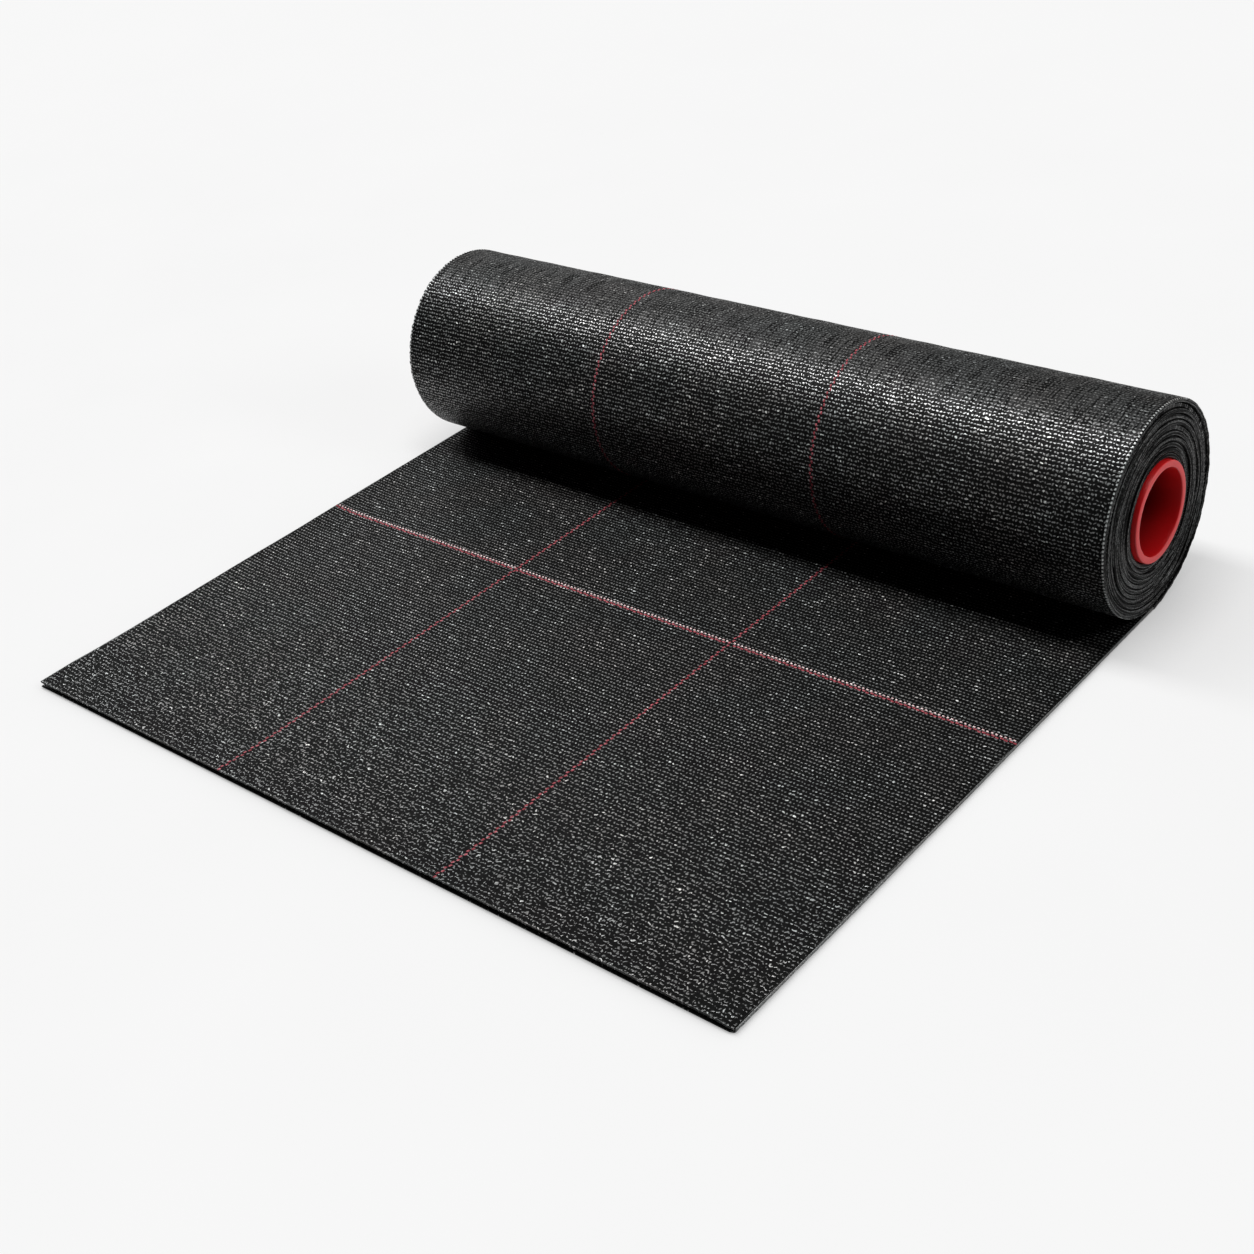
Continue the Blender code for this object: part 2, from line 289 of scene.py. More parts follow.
# Materials
def weave_group():
    """Turns a place on the sheet, across and along it in metres, into light, shine and height.

    Wander is how far tapes stray, Reach is half a dash's length at the least, Narrow is how thin a
    dash is across its rib, and Lines is the share of fine lines in place of dashes."""
    group = bpy.data.node_groups.new("weave", "ShaderNodeTree")
    for name in ("Across", "Along", "Wander", "Reach", "Narrow", "Lines"):
        group.interface.new_socket(name, in_out="INPUT", socket_type="NodeSocketFloat")
    for name in ("Light", "Shine", "Height"):
        group.interface.new_socket(name, in_out="OUTPUT", socket_type="NodeSocketFloat")
    start = group.nodes.new("NodeGroupInput").outputs
    end = group.nodes.new("NodeGroupOutput").inputs
    across, along, lines = start["Across"], start["Along"], start["Lines"]
    calc = partial(math_node, group)
    place = node(group, "CombineXYZ", across, along).outputs[0]

    # Tapes wander a little, more along a rib than across it, so ribs bend and dashes shift
    sideways = 1.4
    wander = {"Vector": place, "Scale": 190.0, "Detail": 1.0}
    wander = node(group, "TexNoise", wander, noise_dimensions="2D").outputs["Color"]
    wander = node(group, "SeparateColor", wander).outputs
    push_u, push_v = (calc("SUBTRACT", part, 0.5) for part in wander[:2])
    push_v = calc("MULTIPLY", push_v, start["Wander"])
    push_u = calc("MULTIPLY", calc("MULTIPLY", push_u, sideways), start["Wander"])

    # A dash is known by its row and its cell, which give it three random numbers of its own
    rib = calc("MULTIPLY_ADD", along, 1 / RIB, push_v)
    row = calc("FLOOR", rib)
    in_rib = calc("SUBTRACT", calc("FRACT", rib), 0.5)
    shift = calc("MULTIPLY", calc("MULTIPLY", row, row), ROW_SHIFT)
    dash = calc("ADD", calc("MULTIPLY_ADD", across, 1 / DASH, push_u), shift)
    cell = calc("FLOOR", dash)
    in_dash = calc("SUBTRACT", calc("FRACT", dash), 0.5)
    cell_place = node(group, "CombineXYZ", cell, row).outputs[0]
    chance = node(group, "TexWhiteNoise", cell_place, noise_dimensions="2D").outputs["Color"]
    for_level, for_reach, for_glint = node(group, "SeparateColor", chance).outputs

    # A dash is an ellipse, long across the sheet, on a rounded rib
    spread = 0.20
    reach_u = calc("MULTIPLY_ADD", for_reach, spread, start["Reach"])
    long_way = calc("POWER", calc("DIVIDE", in_dash, reach_u), 2.0)
    short_way = calc("POWER", calc("MULTIPLY", in_rib, start["Narrow"]), 2.0)
    away = calc("SQRT", calc("ADD", long_way, short_way))
    pillow = calc("SUBTRACT", 1.0, smooth_step(group, away, 0.35, 1.0))
    wave = calc("COSINE", calc("MULTIPLY", in_rib, 2 * math.pi))
    round_rib = calc("MULTIPLY_ADD", wave, 0.5, 0.5)

    # Some ribs are lighter for a stretch, a few dashes are much lighter as a painted glint, and all
    # have a fine grain
    glint_from, glint_gain = 0.85, 2.9
    streak = noise(group, stretched(group, (across, 16.0), (row, 0.73)), plane=True)
    level = calc("MULTIPLY_ADD", smooth_step(group, streak, 0.5, 0.8), 0.8, 0.9)
    painted_glint = calc("MULTIPLY", smooth_step(group, for_glint, glint_from, 1.0), glint_gain)
    own = calc("ADD", calc("MULTIPLY_ADD", for_level, 0.5, 0.5), painted_glint)
    grain = noise(group, place, scale=700.0, detail=1.0, plane=True)
    grain = calc("MULTIPLY_ADD", grain, 2.0, -0.1)
    light = calc("MULTIPLY", calc("MULTIPLY", level, own), pillow)
    light = calc("MULTIPLY", light, grain)

    # Fine lines run the other way, along the sheet, and gaps between dashes aren't quite black
    line_light, line_shine, gap_light = 0.10, 0.18, 0.015
    line = noise(group, stretched(group, (across, 420.0), (along, 22.0)), detail=1.0, plane=True)
    line = smooth_step(group, line, 0.38, 0.62)
    light = mix(group, lines, light, calc("MULTIPLY", line, line_light))
    light = calc("ADD", light, calc("MULTIPLY", round_rib, gap_light))
    shine = mix(group, lines, pillow, calc("MULTIPLY", line, line_shine))
    height = mix(group, lines, calc("MULTIPLY_ADD", round_rib, 0.4, pillow), line)
    for name, value in (("Light", light), ("Shine", shine), ("Height", height)):
        group.links.new(value, end[name])
    return group


WEAVE = weave_group()


def fabric_material(name, round_roll):
    """Black woven tapes. The pattern follows the sheet, flat or wound round the roll's axis."""
    mat = bpy.data.materials.new(name)
    tree, shader = tree_of(mat)
    calc = partial(math_node, tree)
    place = node(tree, "TexCoord").outputs["Object"]
    x, y, z = node(tree, "SeparateXYZ", place).outputs
    across = calc("SUBTRACT", x, LEFT)
    from_middle = calc("ABSOLUTE", x)
    if round_roll:
        back = calc("SUBTRACT", y, AXIS_Y)
        down = calc("SUBTRACT", AXIS_Z, z)
        turn = calc("WRAP", calc("ARCTAN2", back, down), 2 * math.pi, 0.0)
        along = calc("MULTIPLY", turn, RIBS_ROUND * RIB / (2 * math.pi))
        layer = from_axis(tree, back, down)
        outside = calc("MULTIPLY_ADD", turn, -TURN_PITCH / (2 * math.pi), ROLL_RADIUS)

        # Fine lines take the place of dashes on top of the roll; the darker, duller top they give is
        # partly painted shade, and it sharpens the upper edge of the lamp's highlight
        from_top = calc("ABSOLUTE", calc("SUBTRACT", turn, math.pi))
        lines = ramp(tree, from_top, 0.22, 0.70, 0.60, 0.04)
        wander, reach, narrow = 0.9, 0.30, 4.1
        rim_inset, rim_edges, rim_highlight_level = 0.0014, (0.0005, 0.0011), 2.4
        paleness, most_gloss = 0.180, 1.25
    else:
        along = calc("MULTIPLY", calc("SUBTRACT", y, FRONT), RIB / FLAT_RIB)
        layer = z

        # Near the front edge the tapes stray further, and the dashes are shorter
        near, far = FRONT + 0.05, FRONT + 0.32
        wander = ramp(tree, y, near, far, 1.35, 0.55)
        reach = ramp(tree, y, near, far, 0.25, 0.31)
        lines, narrow = 0.04, 4.7
        rim_inset, rim_edges, rim_highlight_level = 0.0005, (0.0003, 0.0007), 0.95
        paleness, most_gloss = 0.150, 0.88
    weave = {
        "Across": across, "Along": along, "Wander": wander,
        "Reach": reach, "Narrow": narrow, "Lines": lines,
    }
    weave = node(tree, "Group", weave, node_tree=WEAVE).outputs

    # The last centimetre at each side is darker, and the last two millimetres show threads, not dashes
    selvedge = smooth_step(tree, from_middle, RIGHT - 0.010, RIGHT - 0.006)
    selvedge = calc("MULTIPLY_ADD", selvedge, -0.4, 1.0)
    light = calc("MULTIPLY", weave["Light"], selvedge)
    ends = smooth_step(tree, from_middle, RIGHT - 0.0026, RIGHT - 0.0018)
    strand = stretched(tree, (layer, 1200.0), (along, 260.0), (x, 500.0))
    strand = smooth_step(tree, noise(tree, strand, roughness=0.6), 0.36, 0.70)

    # The roll's rim shows bright floats, one to a rib, and the laid sheet's sides a thin paler line;
    # both are partly a painted highlight where the rims catch the lamp
    rim = calc("ABSOLUTE", calc("SUBTRACT", from_middle, RIGHT - rim_inset))
    rim = calc("SUBTRACT", 1.0, smooth_step(tree, rim, *rim_edges))
    if round_roll:
        beat = calc("SINE", calc("MULTIPLY", along, 2 * math.pi / RIB))
        rim = calc("MULTIPLY", rim, smooth_step(tree, beat, -0.2, 0.4))
        depth = smooth_step(tree, calc("SUBTRACT", outside, layer), 0.0014, 0.0024)
        rim = calc("MULTIPLY", rim, calc("SUBTRACT", 1.0, depth))
    rim_paleness_and_highlight = calc("MULTIPLY", rim, rim_highlight_level)

    # Seen from its ends the winding shows thin rings, lighter and darker
    ring_gain, least_ring = 3.0, 0.04
    thread_gain, least_thread = 0.130, 0.014
    ring = noise(tree, stretched(tree, (layer, 900.0), (along, 7.0)), plane=True)
    ring = calc("MULTIPLY_ADD", smooth_step(tree, ring, 0.47, 0.57), ring_gain, least_ring)
    threads = calc("MULTIPLY", calc("MULTIPLY_ADD", strand, thread_gain, least_thread), ring)
    light = calc("MAXIMUM", mix(tree, ends, light, threads), rim_paleness_and_highlight)
    shine = calc("MAXIMUM", mix(tree, ends, weave["Shine"], threads), rim)
    if not round_roll:
        # The cut ends of the tapes make a paler line along the front edge, partly a painted highlight
        # where the edge catches the lamp
        cut_inset = 0.0013
        cut_and_highlight = calc("ABSOLUTE", calc("SUBTRACT", along, cut_inset))
        cut_and_highlight = calc("SUBTRACT", 1.0, smooth_step(tree, cut_and_highlight, 0.0003, 0.0009))
        cut_and_highlight = calc("MULTIPLY", cut_and_highlight, calc("MULTIPLY_ADD", strand, 0.6, 0.2))
        light = calc("MAXIMUM", light, cut_and_highlight)

    # The black is a little cooler in some stretches than in others
    blackest = 0.0010
    shade = calc("MULTIPLY_ADD", light, paleness, blackest, clamp=True)
    tone = smooth_step(tree, noise(tree, place, scale=9.0), 0.35, 0.65)
    tone = mix_colour(tree, tone, *BLACK_TINTS)
    colour = node(tree, "VectorMath", tone, {"Scale": shade}, operation="SCALE").outputs[0]
    tree.links.new(colour, shader.inputs["Base Color"])

    # Little light comes back from the gaps between tapes, which are rough
    least_gloss, roughest, smoothest = 0.04, 0.55, 0.24
    gloss = ramp(tree, shine, 0.0, 0.7, least_gloss, most_gloss)
    if round_roll:
        # A painted sheen: more comes back near the roll's right end, evening out the lamp's highlight,
        # and low down at its left end, as a painted reflection of the floor
        low = smooth_step(tree, turn, 4.35, 4.85)
        left = ramp(tree, x, LEFT + 0.30, LEFT + 0.03, 0.0, 1.3)
        painted_sheen_gain = calc("MULTIPLY_ADD", low, left, calc("MULTIPLY_ADD", x, 0.50, 1.0))
        gloss = calc("MULTIPLY", gloss, painted_sheen_gain)
    tree.links.new(gloss, shader.inputs["Specular IOR Level"])
    rough = ramp(tree, shine, 0.0, 0.6, roughest, smoothest)
    fine = noise(tree, place, scale=900.0, detail=1.0)
    tree.links.new(calc("MULTIPLY_ADD", fine, 0.1, rough), shader.inputs["Roughness"])
    high = calc("MULTIPLY_ADD", fine, 0.2, mix(tree, ends, weave["Height"], strand))
    set_bump(tree, shader, high, strength=1.0, distance=0.00010)
    return mat


def yarn_material(name, deep_and_shaded, pale_and_lit):
    """A twisted marker yarn: deep in its hollows and paler on its strands, its own two tones together
    with painted shade in the hollows and a painted highlight on the strands.
    """
    mat = bpy.data.materials.new(name)
    tree, shader = tree_of(mat)
    place = node(tree, "TexCoord").outputs["Object"]
    strand = smooth_step(tree, noise(tree, place, scale=420.0), 0.40, 0.66)
    # Painted shade in the hollows and a painted highlight on the strands, with the yarn's own tones
    tree.links.new(mix_colour(tree, strand, deep_and_shaded, pale_and_lit), shader.inputs["Base Color"])
    rough = math_node(tree, "MULTIPLY_ADD", strand, -0.15, 0.70)
    tree.links.new(rough, shader.inputs["Roughness"])
    shader.inputs["Specular IOR Level"].default_value = 0.3
    set_bump(tree, shader, strand, strength=0.5, distance=0.0003)
    return mat


def core_material():
    """Red extruded plastic, with faint draw lines, paler on its sawn ends, partly as painted light
    where they face the lamp, and with painted shade deep in the bore.
    """
    mat = bpy.data.materials.new("core_red_plastic")
    tree, shader = tree_of(mat)
    calc = partial(math_node, tree)
    place = node(tree, "TexCoord").outputs["Object"]
    x, y, z = node(tree, "SeparateXYZ", place).outputs
    back = calc("SUBTRACT", y, AXIS_Y)
    up = calc("SUBTRACT", z, AXIS_Z)
    turn = calc("ARCTAN2", back, up)
    lines = noise(tree, stretched(tree, (turn, 40.0), (x, 3.0)), detail=3.0, plane=True)
    mottle = noise(tree, place, scale=60.0, detail=3.0)
    from_middle = calc("ABSOLUTE", x)
    # The sawn ends are rougher, and paler partly as painted light
    sawn_and_lit = smooth_step(tree, from_middle, CORE_END - 0.0009, CORE_END - 0.0003)

    # Painted shade: the bore is drawn darker further in, where less light reaches
    within = calc("SUBTRACT", CORE_RADIUS, from_axis(tree, back, up))
    within = smooth_step(tree, within, 0.004, 0.007)
    depth = smooth_step(tree, calc("SUBTRACT", CORE_END, from_middle), 0.000, 0.045)
    painted_bore_shade = calc("MULTIPLY", calc("MULTIPLY", within, depth), 0.85)
    body = mix_colour(tree, painted_bore_shade, mix_colour(tree, mottle, *CORE_RED), CORE_BORE_SHADE)
    end = mix_colour(tree, mottle, *CORE_SAWN_AND_LIT)
    tree.links.new(mix_colour(tree, sawn_and_lit, body, end), shader.inputs["Base Color"])
    rough = calc("MULTIPLY_ADD", sawn_and_lit, 0.18, calc("MULTIPLY_ADD", lines, 0.16, 0.30))
    tree.links.new(rough, shader.inputs["Roughness"])
    set_bump(tree, shader, lines, strength=0.25, distance=0.0002)
    return mat


def tape_material():
    mat = bpy.data.materials.new("tape_film")
    tree, shader = tree_of(mat)
    place = node(tree, "TexCoord").outputs["Object"]
    crepe = noise(tree, place, scale=260.0, detail=3.0)
    tree.links.new(mix_colour(tree, crepe, *TAPE_BUFF), shader.inputs["Base Color"])
    tree.links.new(math_node(tree, "MULTIPLY_ADD", crepe, 0.2, 0.4), shader.inputs["Roughness"])
    set_bump(tree, shader, crepe, strength=0.3, distance=0.0001)
    return mat


FLAT_FABRIC = fabric_material("woven_black_flat", round_roll=False)
WOUND_FABRIC = fabric_material("woven_black_wound", round_roll=True)
RED_YARN = yarn_material("yarn_red", *RED_SHADED_AND_LIT)
WHITE_YARN = yarn_material("yarn_white", *WHITE_SHADED_AND_LIT)


# The laid sheet
def lifts(x, run):
    """How far the laid sheet stands off the floor, and how far its plies part, near its free edges."""
    front = np.clip(1 - run / 0.10, 0, 1) ** 2
    left = np.where(x < 0, edge_weight(x, reach=0.06), 0)
    fold = np.where(x > 0, edge_weight(x, reach=0.03), 0)
    lift, gap = 0.0004, 0.0036
    low = lift + ripple2(x, run, seed=7, lengths=(0.19, 0.37), size=0.0004)
    part = gap + ripple2(x, run, seed=6, lengths=(0.13, 0.31, 0.47), size=0.0006)
    low = low * np.clip(front + left + fold, 0, 1)
    return low, part * np.clip(front * (1 - fold) + 0.7 * left, 0, 1)


def laid_sheet():
    """The doubled sheet as it lies, with the weave's relief on its upper face."""
    x, height, relief = folded_section(fine=True, fold_reach=THICK / 2).T
    rows = np.arange(FRONT, CONTACT - FLAT_RIB / 4, FLAT_RIB / 2)
    rows = np.concatenate([[FRONT, FRONT + 0.0004], rows[1:], [CONTACT]])
    run = (rows - FRONT)[:, None]
    rings = np.zeros((len(rows), len(x), 3))
    rings[..., 0] = x
    rings[..., 1] = rows[:, None]
    rings[..., 2] = height - RELIEF * (1 - weave_height(x - LEFT, run, FLAT_RIB)) * relief

    # The cut front edge is ragged and bevelled, its upper ply set back and its right corner rounded
    front_reach, corner_reach, corner_depth = 0.004, 0.008, 0.0036
    upper_back, lower_back = 0.0010, 0.0002
    bevel, on_face = 0.0005, 0.0001
    near_front = np.clip(1 - run / front_reach, 0, 1)
    ragged = ripple(x, seed=3, lengths=(0.0088, 0.031, 0.14), size=0.0003)
    corner = corner_depth * np.clip(1 - (RIGHT - x) / corner_reach, 0, 1) ** 2
    upper = height > PLY + SLIT / 2
    rings[..., 1] += near_front * (ragged + corner + np.where(upper, upper_back, lower_back))
    rings[0, :, 2] += bevel * (height < on_face) - bevel * (height > THICK - on_face)

    # The left edge is ragged too, and the fold wavers
    left_edge = x < LEFT + 0.001
    fold_edge = edge_weight(x, reach=0.004) * (x > 0)
    rings[..., 0] += left_edge * ripple(run, seed=4, lengths=(RIB, 0.013, 0.047), size=0.0004)
    rings[..., 0] += fold_edge * ripple(run, seed=5, lengths=(RIB * 2, 0.021, 0.16), size=0.0003)

    # The plies part a little along the open edges
    low, part = lifts(x, run)
    rings[..., 2] += low + np.where(upper, part, 0)
    return loft("laid_sheet_woven", rings, FLAT_FABRIC)


# The wound sheet
def wound_points(turns, x, height, radial, sideways):
    """Places on the winding for turn counts and section points; turn nought starts under the axis."""
    angle = 2 * np.pi * turns[:, None]
    radius = ROLL_RADIUS - TURN_PITCH * turns[:, None] - THICK + height + radial
    rings = np.zeros((len(turns), len(x), 3))
    rings[..., 0] = x + sideways
    rings[..., 1] = AXIS_Y + radius * np.sin(angle)
    rings[..., 2] = AXIS_Z - radius * np.cos(angle)
    return rings


def outer_slack(x, turns):
    """How far the outer turn stands off its true spiral, in shallow waves."""
    settle = np.clip(np.minimum(turns, 1 - turns) / 0.04, 0, 1)
    run = turns * RIBS_ROUND * RIB
    return settle * ripple2(x, run, seed=11, lengths=(0.045, 0.07, 0.11, 0.19), size=0.0004)


def outer_turn():
    """One turn, with the weave's relief, deeper by its side edges. These wander and have teeth."""
    x, height, relief = folded_section(fine=True, fold_reach=FOLD_REACH).T
    turns = np.linspace(0.0004, 1, RIBS_ROUND * 2 + 1)
    run = (turns * RIBS_ROUND * RIB)[:, None]
    carve = RELIEF * (1 - weave_height(x - LEFT, run, RIB)) * relief
    carve = carve * (1 + 2 * edge_weight(x, reach=0.006))
    wander = ripple(run, seed=12, lengths=(0.021, 0.06, 0.13, 0.40), size=0.0009)
    wander = wander * edge_weight(x, reach=0.03)
    teeth = ripple(run, seed=13, lengths=(RIB * 1.5, RIB * 2.6), size=0.0003)
    left_teeth = 5
    teeth = teeth * edge_weight(x, reach=0.002) * np.where(x < 0, left_teeth, 1)
    rings = wound_points(turns, x, height, outer_slack(x, turns[:, None]) - carve, wander + teeth)
    return loft("outer_turn_woven", rings, WOUND_FABRIC)


def inner_turns():
    """Ten turns. Each settles on the one inside it, so the innermost hugs the core."""
    x, height, _ = folded_section(fine=False, fold_reach=FOLD_REACH).T
    steps_a_turn, settle_share = 120, 0.14
    turns = np.linspace(1.0006, TURNS, (TURNS - 1) * steps_a_turn + 1)
    run = (2 * np.pi * (ROLL_RADIUS * turns - TURN_PITCH * turns**2 / 2))[:, None]
    share = np.mod(turns, 1)
    share[-1] = 1
    drop = np.clip(share / settle_share, 0, 1)
    drop = drop * drop * (3 - 2 * drop) - share
    settle = -TURN_PITCH * drop * np.clip((turns - 1) / (TURNS - 2), 0, 1)
    slack = settle[:, None] + ripple(run, seed=21, lengths=(0.05, 0.083, 0.17, 0.31), size=0.00015)

    # By the fold the sheet swells or thins
    swell = 0.05 + ripple(run, seed=25, lengths=(0.031, 0.07, 0.19), size=0.05)
    slack = slack + (height - THICK / 2) * swell * edge_weight(x, reach=0.008) * (x > 0)

    # The sides wander, and the right one is set back where it follows the outer turn
    set_back, furthest_in, furthest_out = 0.0016, -0.0026, 0.0010
    right = ripple(run, seed=22, lengths=(0.11, 0.29, 0.83, 1.31), size=0.0020)
    right = np.clip(right - 0.0006, furthest_in, furthest_out)
    right = right - set_back * np.clip(2 - turns, 0, 1)[:, None]
    left = ripple(run, seed=23, lengths=(0.05, 0.12, 0.33, 0.77), size=0.0018) + 0.0008
    teeth = ripple(run, seed=24, lengths=(0.0096, 0.0061), size=0.0003)
    sideways = edge_weight(x, reach=0.03) * (np.where(x > 0, right, left) + teeth)
    rings = wound_points(turns, x, height, slack, sideways)
    return loft("inner_turns_woven", rings, WOUND_FABRIC)


# The marker yarns
STITCH_U, STITCH_V = (-1, -0.6, 0, 0.6, 1), (-1, -0.72, 0, 0.72, 1)


def stitch(across, along):
    """A stitch's top as a small slanted pillow, given as places across, along and up."""
    slant, taper, squareness = 0.25, 0.25, 2.5
    grid = []
    for v in STITCH_V:
        for u in STITCH_U:
            up = (1 - abs(u) ** squareness) * (1 - abs(v) ** squareness)
            grid.append((across / 2 * (u + slant * v) * (1 - taper * v * v), along / 2 * v, up))
    return grid


def stitched(name, places, width, length, mat):
    """Many stitches as one mesh. Each place is a centre, and directions across, along and up."""
    points, faces = [], []
    shape = stitch(width, length)
    root = STITCH_RISE * 0.6 + 0.0002
    side = len(STITCH_U)
    grid = np.arange(side**2).reshape(side, side)
    rim = np.concatenate([grid[0], grid[1:, -1], grid[-1, -2::-1], grid[-2:0:-1, 0]]).tolist()
    for centre, across, along, up in places:
        base = len(points)
        points += [centre + across * u + along * v + up * (h * STITCH_RISE) for u, v, h in shape]
        points += [centre + across * u + along * v - up * root for u, v, h in shape]
        for j in range(side - 1):
            for i in range(side - 1):
                top = base + j * side + i
                under = top + side**2
                faces.append((top, top + 1, top + side + 1, top + side))
                faces.append((under, under + side, under + side + 1, under + 1))
        for here, there in zip(rim, rim[1:] + rim[:1]):
            here, there = base + here, base + there
            faces.append((there, here, here + side**2, there + side**2))
    mesh = bpy.data.meshes.new(name)
    mesh.from_pydata([tuple(p) for p in points], [], faces)
    finish_mesh(mesh, sharp=70)
    return new_object(name, mesh, mat)


def on_laid_sheet(x, y):
    """A stitch's place on the laid sheet, which is lifted a little near its edges."""
    return Vector((x, y, THICK - STITCH_SINK + float(sum(lifts(x, y - FRONT)))))


def laid_yarn(name, x):
    """Stitches along the laid sheet, one to a rib, that step from side to side."""
    count = int((CONTACT - FRONT) / FLAT_RIB) - 1
    ways = Vector((1, 0, 0)), Vector((0, 1, 0)), Vector((0, 0, 1))
    places = []
    for n in range(count):
        y = FRONT + FLAT_RIB * (n + 0.5)
        side = YARN_STEP * (-1) ** n
        places.append((on_laid_sheet(x + side, y), *ways))
    return stitched(name, places, width=0.0028, length=0.0036, mat=RED_YARN)


def wound_yarn(name, x):
    """Stitches round the outer turn, one to a rib, apart from its first rib and its last."""
    places = []
    for n in range(1, RIBS_ROUND - 1):
        turn = (n + 0.5) / RIBS_ROUND
        angle = 2 * math.pi * turn
        radius = ROLL_RADIUS - TURN_PITCH * turn - STITCH_SINK + float(outer_slack(x, turn))
        out = Vector((0, math.sin(angle), -math.cos(angle)))
        along = Vector((0, math.cos(angle), math.sin(angle)))
        side = YARN_STEP * (-1) ** n
        centre = Vector((x + side, AXIS_Y, AXIS_Z)) + out * radius
        places.append((centre, Vector((1, 0, 0)), along, out))
    return stitched(name, places, width=0.0025, length=0.0033, mat=RED_YARN)


def cross_yarn(name, y, mat, width, length, phase, step):
    """A row of stitches across the sheet, left out on the fold and where a lengthwise yarn passes."""
    count = int((RIGHT - LEFT) / CROSS_STITCH)
    ways = Vector((0, -1, 0)), Vector((1, 0, 0)), Vector((0, 0, 1))
    places = []
    for n in range(count):
        x = LEFT + CROSS_STITCH * (n + 0.5 + phase)
        if x > RIGHT - THICK / 2 or min(abs(x - LEFT_YARN_X), abs(x - RIGHT_YARN_X)) < CROSS_CLEAR:
            continue
        side = step * (-1) ** n + 0.0002 * math.sin(n * 1.9)
        places.append((on_laid_sheet(x, y + side), *ways))
    return stitched(name, places, width, length, mat)


# The core
def core():
    """The tube turned about the axis, its lips rounded."""
    inner, outer, lip = CORE_RADIUS - CORE_WALL, CORE_RADIUS, CORE_LIP
    arc = [math.pi / 2 * n / 4 for n in range(5)]
    profile = [(CORE_END - lip + lip * math.sin(a), outer - lip + lip * math.cos(a)) for a in arc]
    profile += [(CORE_END - lip + lip * math.cos(a), inner + lip - lip * math.sin(a)) for a in arc]
    profile += [(CORE_END - 0.03, inner), (CORE_END - 0.2, inner)]
    profile += [(-x, radius) for x, radius in reversed(profile)]
    x, radius = np.array(profile).T
    steps = 144
    angles = (2 * np.pi * np.arange(steps + 1) / steps)[:, None]
    rings = np.zeros((steps + 1, len(x), 3))
    rings[..., 0] = x
    rings[..., 1] = AXIS_Y + radius * np.sin(angles)
    rings[..., 2] = AXIS_Z + radius * np.cos(angles)
    return loft("core_tube_red", rings, core_material(), capped=False, sharp=35)


laid = laid_sheet()
outer = outer_turn()
inner = inner_turns()
left_laid = laid_yarn("left_yarn_stitches", LEFT_YARN_X)
right_laid = laid_yarn("right_yarn_stitches", RIGHT_YARN_X)
left_wound = wound_yarn("left_yarn_round", LEFT_YARN_X)
right_wound = wound_yarn("right_yarn_round", RIGHT_YARN_X)
cross_red = cross_yarn(
    "cross_red_stitches", CROSS_Y - 0.0020, RED_YARN,
    width=0.0027, length=0.0040, phase=0.0, step=0.0006,
)
cross_white = cross_yarn(
    "cross_white_stitches", CROSS_Y + 0.0019, WHITE_YARN,
    width=0.0022, length=0.0028, phase=0.45, step=0.0,
)
tube = core()

for piece, stands_for, slot in (
    (laid, "laid_sheet", "woven_black"),
    (outer, "outer_turn", "woven_black"),
    (inner, "inner_turns", "woven_black"),
    (left_laid, "left_yarn_laid", "red_yarn"),
    (right_laid, "right_yarn_laid", "red_yarn"),
    (left_wound, "left_yarn_wound", "red_yarn"),
    (right_wound, "right_yarn_wound", "red_yarn"),
    (cross_red, "cross_yarn_red", "red_yarn"),
    (cross_white, "cross_yarn_white", "white_yarn"),
    (tube, "core_tube", "red_plastic"),
):
    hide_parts(stands_for)

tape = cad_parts["core_tape"]
tape.data.materials.clear()
tape.data.materials.append(tape_material())

for piece in (laid, left_laid, right_laid, cross_red, cross_white):
    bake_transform(piece)
for piece in (outer, left_wound, right_wound):
    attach(piece, "outer_turn")
for piece in (inner, tube):
    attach(piece, "roll")


# Stage, light and camera
def lamp_light(tree, place, lamp, parts):
    """For each part of a lamp, how its light falls off at a place, and the part's share of light."""
    facing = -(lamp.matrix_world.to_3x3() @ Vector((0, 0, 1)))
    found = []
    for n in range(parts):
        spot = lamp.matrix_world @ Vector((0, lamp.data.size_y * ((n + 0.5) / parts - 0.5), 0))
        away = node(tree, "VectorMath", place, tuple(spot), operation="SUBTRACT").outputs[0]
        along = node(tree, "VectorMath", away, tuple(facing), operation="DOT_PRODUCT")
        along = math_node(tree, "MAXIMUM", along.outputs["Value"], 0.0)
        reach = node(tree, "VectorMath", away, operation="LENGTH").outputs["Value"]
        fall = math_node(tree, "DIVIDE", along, math_node(tree, "POWER", reach, 4.0))
        found.append((fall, lamp.data.energy / parts * spot.z / math.pi**2))
    return found


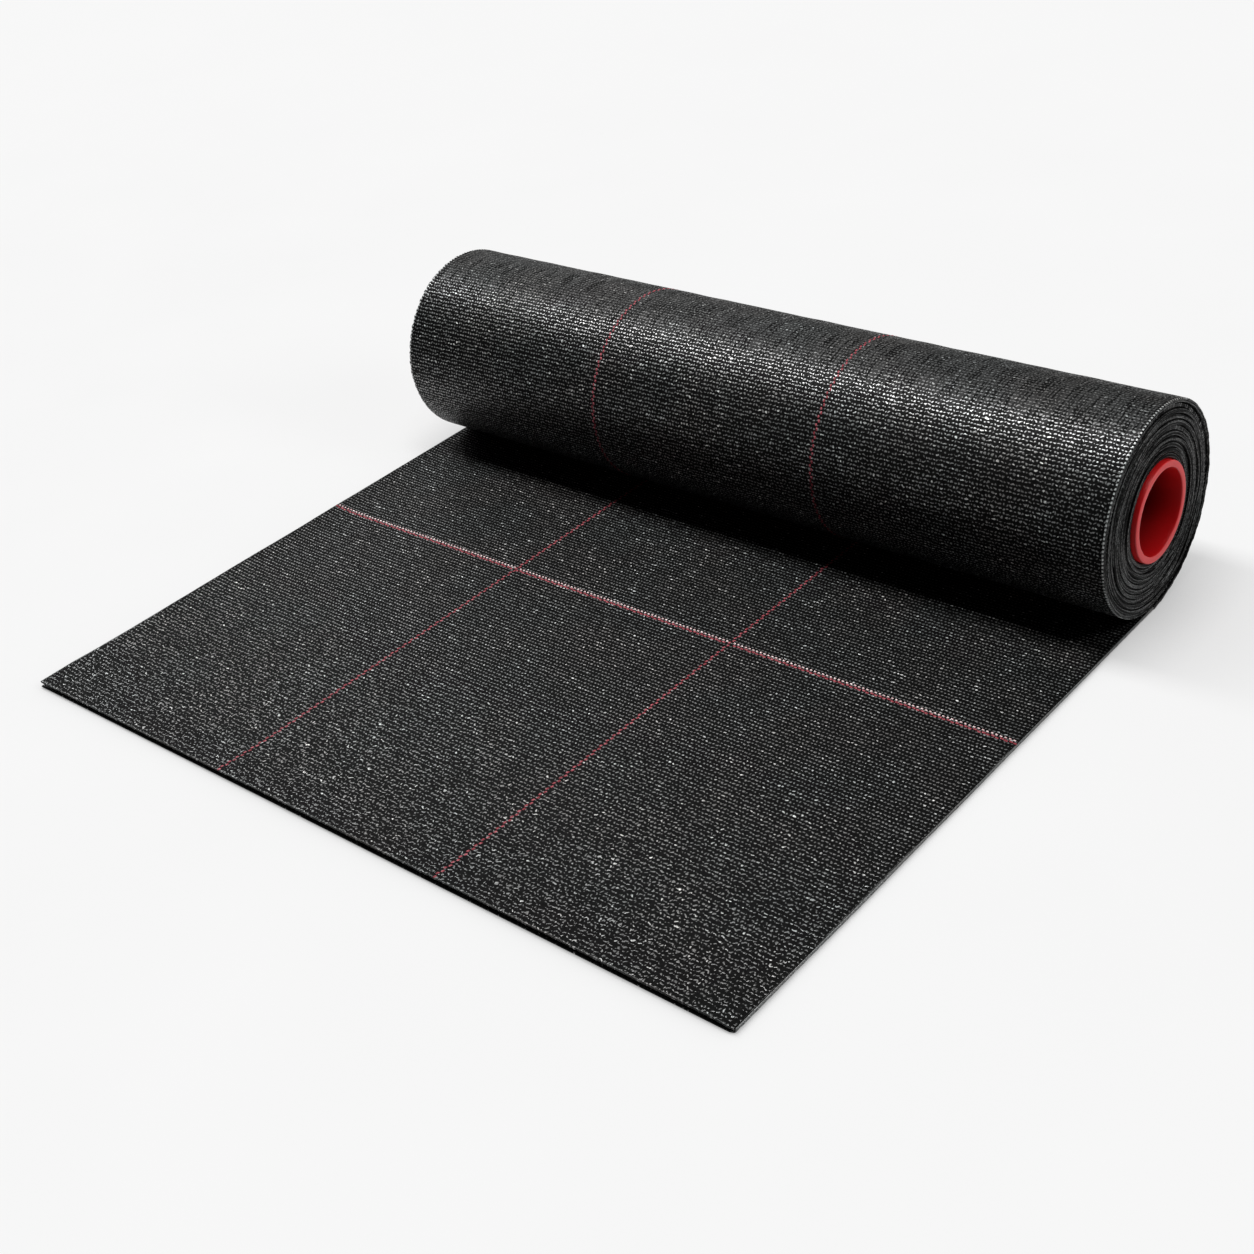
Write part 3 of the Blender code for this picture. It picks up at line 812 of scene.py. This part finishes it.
def floor_material(lamps):
    """Pale and glowing. The lamps are given with the number of parts that each is counted as."""
    mat = bpy.data.materials.new("studio_floor")
    tree, shader = tree_of(mat)
    calc = partial(math_node, tree)
    place = node(tree, "TexCoord").outputs["Object"]
    grain = noise(tree, place, scale=3.0)
    colour = mix_colour(tree, grain, grey(FLOOR_ALBEDO - 0.01), grey(FLOOR_ALBEDO + 0.01))
    tree.links.new(colour, shader.inputs["Base Color"])
    shader.inputs["Roughness"].default_value = 0.9
    shader.inputs["Specular IOR Level"].default_value = 0.1
    shader.inputs["Emission Color"].default_value = (1, 1, 1, 1)

    # The floor glows less where the lamps light it more, so that it looks evenly white
    from_world = 0.09
    glow = BACKDROP - FLOOR_ALBEDO * from_world
    for lamp, parts in lamps:
        for fall, share in lamp_light(tree, place, lamp, parts):
            glow = calc("MULTIPLY_ADD", fall, -FLOOR_ALBEDO * share, glow)

    # Close to the sheet's edges the floor is a little shaded
    shaded = node(tree, "AmbientOcclusion", {"Distance": 0.08}, samples=6).outputs["AO"]
    glow = calc("MULTIPLY", glow, calc("MULTIPLY_ADD", shaded, 0.5, 0.5))
    glow = calc("MAXIMUM", glow, 0.0)

    # It lights the object less than it shows, as a real floor in soft light would
    by_bounce = node(tree, "LightPath").outputs["Is Diffuse Ray"]
    glow = calc("MULTIPLY", glow, calc("MULTIPLY_ADD", by_bounce, -0.75, 1.0))
    tree.links.new(glow, shader.inputs["Emission Strength"])
    return mat


def stage(lamps):
    """A white floor and backdrop."""
    mesh = bpy.data.meshes.new("floor")
    reach, low = 30, -0.0004
    corners = [(-reach, -reach, low), (reach, -reach, low), (reach, reach, low), (-reach, reach, low)]
    mesh.from_pydata(corners, [], [(0, 1, 2, 3)])
    new_object("floor", mesh, floor_material(lamps))

    # The world is dim, with a soft glow low on the side away from the camera, and looks like the floor
    world = bpy.data.worlds.new("studio")
    bpy.context.scene.world = world
    world.use_nodes = True
    tree = world.node_tree
    seen = node(tree, "LightPath").outputs["Is Camera Ray"]
    way = node(tree, "TexCoord").outputs["Generated"]
    behind = node(tree, "VectorMath", way, (-0.78, 0.52, 0.35), operation="DOT_PRODUCT")
    behind = smooth_step(tree, behind.outputs["Value"], 0.86, 0.99)
    glow = math_node(tree, "MULTIPLY_ADD", behind, 0.80, 0.04)
    glow = node(tree, "CombineColor", glow, glow, glow).outputs[0]
    back = tree.nodes["Background"].inputs
    tree.links.new(mix_colour(tree, seen, glow, grey(BACKDROP)), back["Color"])
    back["Strength"].default_value = 1.0


def softbox(name, place, target, size, power):
    light = bpy.data.lights.new(name, "AREA")
    light.shape = "RECTANGLE"
    light.size, light.size_y = size
    light.energy = power
    ob = bpy.data.objects.new(name, light)
    bpy.context.scene.collection.objects.link(ob)
    ob.location = place
    ob.rotation_euler = (Vector(place) - Vector(target)).to_track_quat("Z", "Y").to_euler()
    bpy.context.view_layer.update()
    return ob


def camera(place, yaw, pitch, roll, lens):
    """A camera with its angles in degrees and its lens for a sensor 36 mm wide."""
    yaw, pitch, roll = math.radians(yaw), math.radians(pitch), math.radians(roll)
    level = math.cos(pitch)
    forward = Vector((-math.sin(yaw) * level, math.cos(yaw) * level, -math.sin(pitch)))
    side = Vector((math.cos(yaw), math.sin(yaw), 0))
    up = side.cross(forward)
    right = math.cos(roll) * side + math.sin(roll) * up
    top = math.cos(roll) * up - math.sin(roll) * side
    data = bpy.data.cameras.new("photo_camera")
    data.lens, data.sensor_width = lens, 36
    data.clip_start, data.clip_end = 0.05, 200
    ob = bpy.data.objects.new("photo_camera", data)
    bpy.context.scene.collection.objects.link(ob)
    turned = Matrix((right, top, -forward)).transposed().to_4x4()
    ob.matrix_world = Matrix.Translation(place) @ turned
    bpy.context.scene.camera = ob


key = softbox(
    "key_softbox", place=(-0.76, 0.12, 2.15), target=(-0.28, 0.105, 0.1), size=(0.6, 2.9), power=94
)
fill = softbox("fill_softbox", place=(2.3, 0.9, 1.9), target=(0.5, 0.3, 0.1), size=(1.0, 1.0), power=28)
stage([(key, 4), (fill, 1)])

# The photograph's view, fitted to the sheet's edges, the yarns and the roll's ends
camera(place=(1.25248, -1.26856, 1.12861), yaw=44.2094, pitch=32.4722, roll=-7.9807, lens=53.486)
bpy.context.scene.view_settings.view_transform = "Standard"
